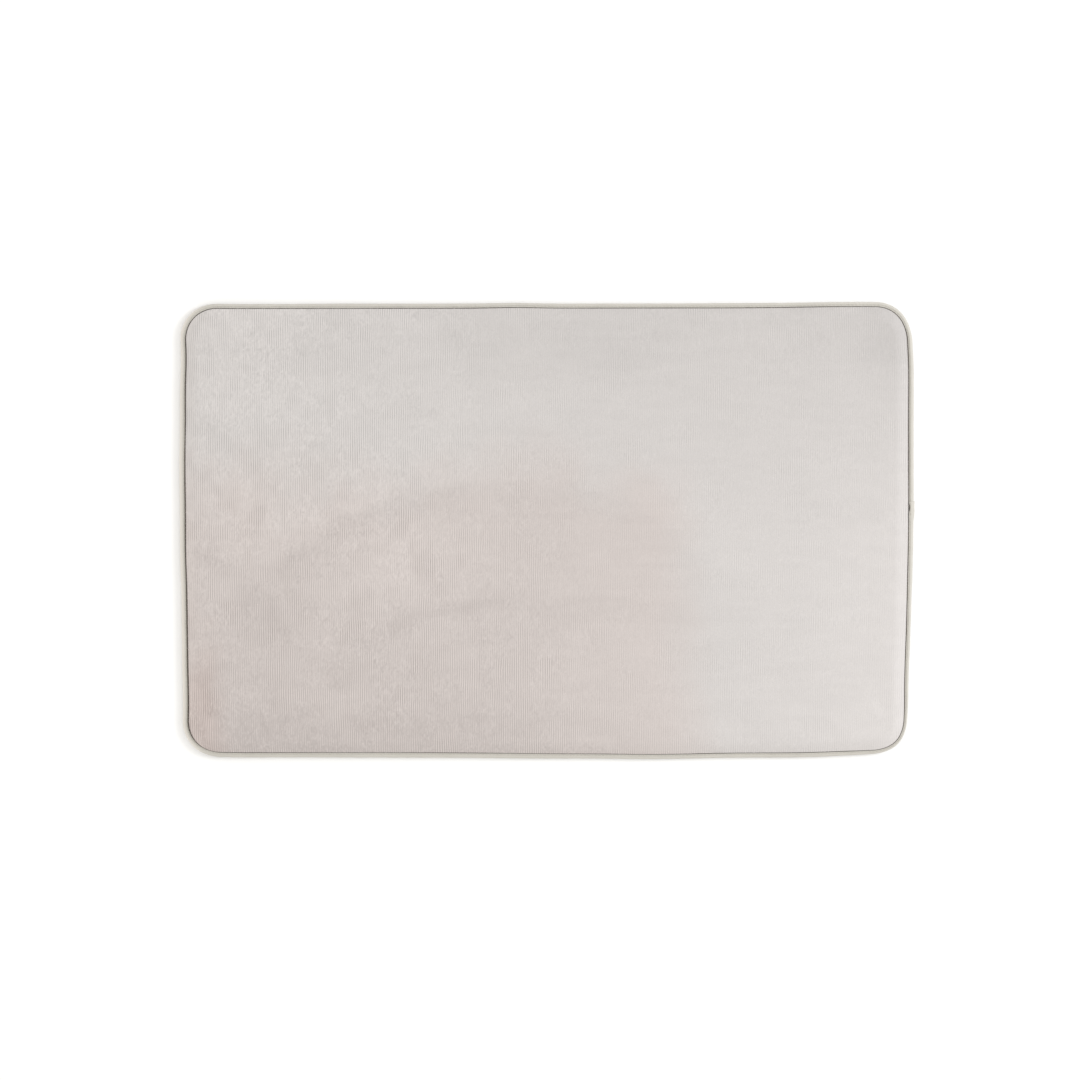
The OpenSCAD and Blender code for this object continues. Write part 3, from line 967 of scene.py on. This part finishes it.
def nodeTree(name, materialName, inputs):    # a Geometry Nodes tree with named inputs
    tree = bpy.data.node_groups.new(name, "GeometryNodeTree")
    tree.interface.new_socket("Geometry", in_out="INPUT", socket_type="NodeSocketGeometry")
    sockets = {}
    for label, value in inputs.items():
        socket = tree.interface.new_socket(label, in_out="INPUT", socket_type=socketKinds[type(value)])
        socket.default_value = value
        sockets[label] = socket.identifier
    skin = tree.interface.new_socket(materialName, in_out="INPUT", socket_type="NodeSocketMaterial")
    sockets[materialName] = skin.identifier
    tree.interface.new_socket("Geometry", in_out="OUTPUT", socket_type="NodeSocketGeometry")
    return tree, addNode(tree, "NodeGroupInput").outputs, addNode(tree, "NodeGroupOutput"), sockets


def outOf(tree, kind, inputs, **settings):
    return addNode(tree, kind, inputs, **settings).outputs[0]


def placeCopies(tree, result, points, shape, vary, skin, facing=None):    # a copy of shape on each point
    inputs = {"Points": points, "Instance": shape, "Scale": vary.outputs[1]}
    if facing:
        inputs["Rotation"] = facing
    copies = outOf(tree, "GeometryNodeInstanceOnPoints", inputs)
    real = outOf(tree, "GeometryNodeRealizeInstances", {"Geometry": copies})
    skinned = outOf(tree, "GeometryNodeSetMaterial", {"Geometry": real, "Material": skin})
    tree.links.new(skinned, result.inputs[0])


def bakeNodes(carrier, tree, sockets, values, name):    # runs the tree and keeps its result as a plain mesh
    modifier = carrier.modifiers.new(tree.name, "NODES")
    modifier.node_group = tree
    for label, value in values.items():
        modifier[sockets[label]] = value
    bpy.context.view_layer.update()
    depsgraph = bpy.context.evaluated_depsgraph_get()
    mesh = bpy.data.meshes.new_from_object(carrier.evaluated_get(depsgraph), depsgraph=depsgraph)
    carrier.modifiers.remove(modifier)
    mesh.name = name
    piece = bpy.data.objects.new(name, mesh)
    bpy.context.scene.collection.objects.link(piece)
    bpy.data.objects.remove(carrier)
    return piece


stitch = {
    "length": 0.0036,
    "thickness": 0.00042,
    "rise": 0.00022,         # crown of a stitch above the tape's channel
    "sink": 0.00035,         # how deep its ends go into the cloth
    "uneven": 0.12,
    "seed": 61,
}


def stitchTree():
    tree, given, result, sockets = nodeTree("stitches", "Thread", {
        "Length": stitch["length"],
        "Thickness": stitch["thickness"],
        "Rise": stitch["rise"],
        "Sink": stitch["sink"],
        "Unevenness": stitch["uneven"],
        "Seed": stitch["seed"],
    })
    half = mathNode(tree, "MULTIPLY", given["Length"], 0.5)
    back = mathNode(tree, "MULTIPLY", given["Length"], -0.5)
    low = mathNode(tree, "MULTIPLY", given["Sink"], -1.0)
    crown = mathNode(tree, "MULTIPLY", given["Rise"], 2.2)
    radius = mathNode(tree, "MULTIPLY", given["Thickness"], 0.5)
    start = outOf(tree, "ShaderNodeCombineXYZ", {"X": back, "Z": low})
    middle = outOf(tree, "ShaderNodeCombineXYZ", {"Z": crown})
    end = outOf(tree, "ShaderNodeCombineXYZ", {"X": half, "Z": low})
    arch = outOf(tree, "GeometryNodeCurveQuadraticBezier",
                 {"Resolution": 6, "Start": start, "Middle": middle, "End": end})
    ring = outOf(tree, "GeometryNodeCurvePrimitiveCircle", {"Resolution": 6, "Radius": radius})
    solid = outOf(tree, "GeometryNodeCurveToMesh", {"Curve": arch, "Profile Curve": ring, "Fill Caps": True})
    along = outOf(tree, "GeometryNodeInputNamedAttribute", {"Name": "along"}, data_type="FLOAT_VECTOR")
    upward = outOf(tree, "GeometryNodeInputNamedAttribute", {"Name": "upward"}, data_type="FLOAT_VECTOR")
    facing = outOf(tree, "FunctionNodeAlignRotationToVector", {"Vector": along}, axis="X")
    facing = outOf(tree, "FunctionNodeAlignRotationToVector", {"Rotation": facing, "Vector": upward},
                   axis="Z", pivot_axis="X")
    least = mathNode(tree, "SUBTRACT", 1.0, given["Unevenness"])
    most = mathNode(tree, "ADD", 1.0, given["Unevenness"])
    vary = addNode(tree, "FunctionNodeRandomValue", {2: least, 3: most, "Seed": given["Seed"]})
    points = outOf(tree, "GeometryNodeMeshToPoints", {"Mesh": given["Geometry"]})
    placeCopies(tree, result, points, solid, vary, given["Thread"], facing)
    return tree, sockets


def seamPoints(name, places, along, upward):
    carrier = meshPiece(name, places, [])
    for label, values in (("along", along), ("upward", upward)):
        layer = carrier.data.attributes.new(label, "FLOAT_VECTOR", "POINT")
        layer.data.foreach_set("vector", np.asarray(values, np.float32).ravel())
    return carrier


def seamLine(height, up):    # stitch centres round the binding, with their directions
    pitch = edgeLength(tape["seam"]) / tape["stitches"]
    distance = (np.arange(tape["stitches"]) + 0.5) * pitch
    _, out = alongEdge(distance, tape["seam"])
    places = edgePoints(distance, tape["seam"], height)
    along = np.column_stack([-out[:, 1], out[:, 0], np.zeros(len(out))])
    return places, along, np.repeat([[0, 0, up]], len(out), 0), out


def makeNeedleThread(tree, sockets):
    places, along, upward, out = seamLine(mat["edgeHeight"] - tape["seamDepth"], 1)
    upward = upward + np.column_stack([-out * 0.25, np.zeros(len(out))])
    # four short back-tacks hold the folded end, beside the seam
    tackY = tape["lapTo"] - np.array([0.0025, 0.0062, 0.0098, 0.0135])
    tackX = mat["halfLength"] - tape["seam"] + 0.00055
    tacks = np.column_stack([np.full(4, tackX), tackY, np.full(4, mat["edgeHeight"] + tape["lapThickness"])])
    under = (places[:, 1] > tape["lapFrom"]) & (places[:, 1] < tape["lapTo"] - 0.0006)
    over = (places[:, 0] > 0) & under
    places[over, 2] += tape["lapThickness"] * smooth((places[over, 1] - tape["lapFrom"]) / 0.008)
    places = np.concatenate([places, tacks])
    along = np.concatenate([along, np.repeat([[0, 1, 0]], 4, 0)])
    upward = np.concatenate([upward, np.repeat([[0, 0, 1]], 4, 0)])
    carrier = seamPoints("needleLine", settle(places), along, upward)
    return bakeNodes(carrier, tree, sockets, {"Thread": thread}, "needleThread")


bobbin = {"height": 0.00036, "rise": 0.0001, "sink": 0.0002, "seed": 62}


def makeBobbinThread(tree, sockets):
    places, along, upward, _ = seamLine(bobbin["height"], -1)
    carrier = seamPoints("bobbinLine", settle(places), along, upward)
    values = {"Thread": thread, "Rise": bobbin["rise"], "Sink": bobbin["sink"], "Seed": bobbin["seed"]}
    return bakeNodes(carrier, tree, sockets, values, "bobbinThread")


labelSeam = {
    "fromEdge": 0.002,
    "pitch": 0.0027,
    "length": 0.0024,
    "thickness": 0.00026,
    "rise": 0.0001,
    "sink": 0.00012,
    "seed": 63,
}


def makeLabelStitches(tree, sockets):
    middle = (labelLow + labelHigh) / 2
    half = (labelHigh - labelLow) / 2
    halfL, halfW = half.x - labelSeam["fromEdge"], half.y - labelSeam["fromEdge"]
    places, along = [], []
    for dx, dy, reach, other in ((1, 0, halfL, halfW), (0, 1, halfW, halfL)):
        count = round(2 * reach / labelSeam["pitch"])
        for k in range(count):
            t = -reach + (k + 0.5) * 2 * reach / count
            for side in (-1, 1):
                places.append((middle.x + dx * t + dy * side * other, middle.y + dy * t + dx * side * other,
                               labelLow.z - 0.00002))
                along.append((dx, dy, 0))
    upward = np.repeat([[0, 0, -1]], len(places), 0)
    carrier = seamPoints("labelLine", settle(places), along, upward)
    values = {"Thread": thread, "Length": labelSeam["length"], "Thickness": labelSeam["thickness"],
              "Rise": labelSeam["rise"], "Sink": labelSeam["sink"], "Seed": labelSeam["seed"]}
    return bakeNodes(carrier, tree, sockets, values, "labelStitches")


overlock = {
    "loops": 900,
    "thickness": 0.00034,
    "length": 0.0044,
    "rise": 0.0003,
    "sink": 0.0004,
    "slant": 0.18,
    "height": 0.0036,        # of the loops' middles above the floor
    "seed": 66,
}


def makeOverlock(tree, sockets):    # loops that wrap the cut edges of the layers inside the binding
    distance = (np.arange(overlock["loops"]) + 0.5) * edgeLength(mat["rawEdge"]) / overlock["loops"]
    _, out = alongEdge(distance, mat["rawEdge"])
    places = edgePoints(distance, mat["rawEdge"] - 0.0001, overlock["height"])
    slant = overlock["slant"]
    along = np.column_stack([-out[:, 1] * slant, out[:, 0] * slant, np.ones(len(out))])
    carrier = seamPoints("overlockLine", settle(places), along, np.column_stack([out, np.zeros(len(out))]))
    values = {"Thread": thread, "Length": overlock["length"], "Thickness": overlock["thickness"],
              "Rise": overlock["rise"], "Sink": overlock["sink"], "Seed": overlock["seed"]}
    return bakeNodes(carrier, tree, sockets, values, "edgeOverlock")


tree, sockets = stitchTree()
seamMakers = {
    "edge_overlock": makeOverlock,
    "needle_thread": makeNeedleThread,
    "bobbin_thread": makeBobbinThread,
    "label_stitches": makeLabelStitches,
}
for node, makeSeam in seamMakers.items():
    finishWith(makeSeam(tree, sockets), thread, [node])

grip = {
    "pitch": 0.018,
    "diameter": 0.005,
    "height": 0.0008,        # each dot bulges this far below the backing
    "fromEdge": 0.0155,      # from the mat's outer edge to the nearest dot centre
    "fromLabel": 0.0055,
    "uneven": 0.05,
    "seed": 64,
}


def gripTree():
    tree, given, result, sockets = nodeTree("gripDots", "Rubber", {
        "Diameter": grip["diameter"],
        "Height": grip["height"],
        "Unevenness": grip["uneven"],
        "Seed": grip["seed"],
    })
    drop = outOf(tree, "GeometryNodeMeshUVSphere", {"Segments": 10, "Rings": 5, "Radius": 1.0})
    half = mathNode(tree, "MULTIPLY", given["Diameter"], 0.5)
    size = outOf(tree, "ShaderNodeCombineXYZ", {"X": half, "Y": half, "Z": given["Height"]})
    flat = outOf(tree, "GeometryNodeTransform", {"Geometry": drop, "Scale": size})
    dot = outOf(tree, "GeometryNodeSetShadeSmooth", {"Geometry": flat})
    least = mathNode(tree, "SUBTRACT", 1.0, given["Unevenness"])
    vary = addNode(tree, "FunctionNodeRandomValue", {2: least, 3: 1.0, "Seed": given["Seed"]})
    points = outOf(tree, "GeometryNodeMeshToPoints", {"Mesh": given["Geometry"]})
    placeCopies(tree, result, points, dot, vary, given["Rubber"])
    return tree, sockets


def makeGripDots(rubber):
    centres = []
    clear = grip["fromLabel"]
    rowPitch = grip["pitch"] * math.sin(math.pi / 3)
    rows, columns = int(mat["halfWidth"] / rowPitch) + 1, int(mat["halfLength"] / grip["pitch"]) + 1
    for row in range(-rows, rows + 1):
        for column in range(-columns, columns + 1):
            x = (column + 0.5 * (row % 2)) * grip["pitch"]
            y = row * rowPitch
            onLabel = (labelLow.x - clear < x < labelHigh.x + clear
                       and labelLow.y - clear < y < labelHigh.y + clear)
            if insetOf(x, y) >= grip["fromEdge"] and not onLabel:
                centres.append((x, y, backingLow.z))
    print("grip dots", len(centres))
    tree, sockets = gripTree()
    carrier = meshPiece("gripPlaces", settle(centres), [])
    return bakeNodes(carrier, tree, sockets, {"Rubber": rubber}, "gripDots")


rubber = gripMaterial()
finishWith(makeGripDots(rubber), rubber, ["grip_dots"])

label = {"lift": 0.00008, "grid": (50, 30), "pucker": 0.00006, "seamWidth": 0.0012}


def makeLabel():
    countX, countY = label["grid"][0] + 1, label["grid"][1] + 1
    across = np.linspace(labelLow.x, labelHigh.x, countX)
    up = np.linspace(labelLow.y, labelHigh.y, countY)
    x, y = np.repeat(across[:, None], countY, 1), np.repeat(up[None, :], countX, 0)
    fromEdge = np.minimum(x - labelLow.x, labelHigh.x - x)
    fromEdge = np.minimum(fromEdge, np.minimum(y - labelLow.y, labelHigh.y - y))
    seam = bell(fromEdge - labelSeam["fromEdge"], label["seamWidth"])
    ripple = np.cos(2 * math.pi * (x + y) / labelSeam["pitch"]) * seam * label["pucker"]
    low = labelLow.z + label["lift"] * seam + ripple + 0.00003 * softNoise(x, y, 0.009, 71)
    top, bottom = np.full(x.shape, labelHigh.z), np.minimum(low, labelHigh.z - 0.00005)
    points = np.concatenate([np.stack([x.ravel(), y.ravel(), top.ravel()], 1),
                             np.stack([x.ravel(), y.ravel(), bottom.ravel()], 1)])
    faces = gridFaces(countX, countY) + gridFaces(countX, countY, countX * countY, flip=True)
    ring = [i * countY + j for i, j in rimOf(countX, countY)]
    faces += [(ring[k - 1], ring[k - 1] + x.size, ring[k] + x.size, ring[k]) for k in range(len(ring))]
    return meshPiece("careLabel", settle(points), faces)


careLabel = makeLabel()
finishWith(careLabel, labelMaterial(), ["care_label"])

fibres = {
    "perSquareMetre": 45000.0,
    "lipPerSquareMetre": 900000.0,
    "lipReach": 0.0022,      # how far from the crevice the extra fibres stand
    "length": 0.0014,
    "thickness": 0.00016,
    "sink": 0.00035,
    "lean": (0.25, 0.80, 0.0),
    "scatter": 0.9,
    "uneven": 0.35,
    "seed": 65,
}


def fibreTree():    # short leaning yarn ends, scattered over the pile
    tree, given, result, sockets = nodeTree("pileFibres", "Yarn", {
        "Density": fibres["perSquareMetre"],
        "Lip Density": fibres["lipPerSquareMetre"],
        "Length": fibres["length"],
        "Thickness": fibres["thickness"],
        "Sink": fibres["sink"],
        "Lean": fibres["lean"],
        "Scatter": fibres["scatter"],
        "Unevenness": fibres["uneven"],
        "Seed": fibres["seed"],
    })
    lip = outOf(tree, "GeometryNodeInputNamedAttribute", {"Name": "lip"}, data_type="FLOAT")
    upward = outOf(tree, "GeometryNodeInputNamedAttribute", {"Name": "open"}, data_type="FLOAT")
    extra = mathNode(tree, "MULTIPLY", given["Lip Density"], lip)
    density = mathNode(tree, "MULTIPLY", mathNode(tree, "ADD", given["Density"], extra), upward)
    seed = given["Seed"]
    spots = addNode(tree, "GeometryNodeDistributePointsOnFaces",
                    {"Mesh": given["Geometry"], "Density": density, "Seed": seed})
    width = mathNode(tree, "MULTIPLY", given["Thickness"], 0.5)
    blade = outOf(tree, "GeometryNodeMeshCone", {"Vertices": 3, "Radius Top": 0.0, "Radius Bottom": width,
                                                 "Depth": given["Length"]})
    down = mathNode(tree, "MULTIPLY", given["Sink"], -1.0)
    lower = outOf(tree, "ShaderNodeCombineXYZ", {"Z": down})
    sunk = outOf(tree, "GeometryNodeTransform", {"Geometry": blade, "Translation": lower})
    behind = mathNode(tree, "MULTIPLY", given["Scatter"], -1.0)
    stray = outOf(tree, "FunctionNodeRandomValue", {0: behind, 1: given["Scatter"], "Seed": seed},
                  data_type="FLOAT_VECTOR")
    leaning = outOf(tree, "ShaderNodeVectorMath", {0: spots.outputs["Normal"], 1: given["Lean"]},
                    operation="ADD")
    leaning = outOf(tree, "ShaderNodeVectorMath", {0: leaning, 1: stray}, operation="ADD")
    facing = outOf(tree, "FunctionNodeAlignRotationToVector", {"Vector": leaning}, axis="Z")
    least = mathNode(tree, "SUBTRACT", 1.0, given["Unevenness"])
    most = mathNode(tree, "ADD", 1.0, given["Unevenness"])
    vary = addNode(tree, "FunctionNodeRandomValue", {2: least, 3: most, "Seed": seed})
    placeCopies(tree, result, spots.outputs["Points"], sunk, vary, given["Yarn"], facing)
    return tree, sockets


def makeFibres(yarn):
    carrier = bpy.data.objects.new("fibreCarrier", pileCover.data.copy())
    bpy.context.scene.collection.objects.link(carrier)
    x, y, z = meshPlaces(carrier).T
    facing = meshPlaces(carrier, "normal")[:, 2] > 0.05
    addPointValues(carrier, "open", facing & (z > pile["pinchTop"] + 0.0008))
    addPointValues(carrier, "lip", smooth(1 - (insetOf(x, y) - pile["crevice"]) / fibres["lipReach"]))
    tree, sockets = fibreTree()
    print("bath mat: fibres")
    return bakeNodes(carrier, tree, sockets, {"Yarn": yarn}, "pileFibres")


# painted light: the fibres half again as light as the pile, without its root shade
fibreYarn = pileMaterial("plushFibre", 1.5, False)
finishWith(makeFibres(fibreYarn), fibreYarn, [])
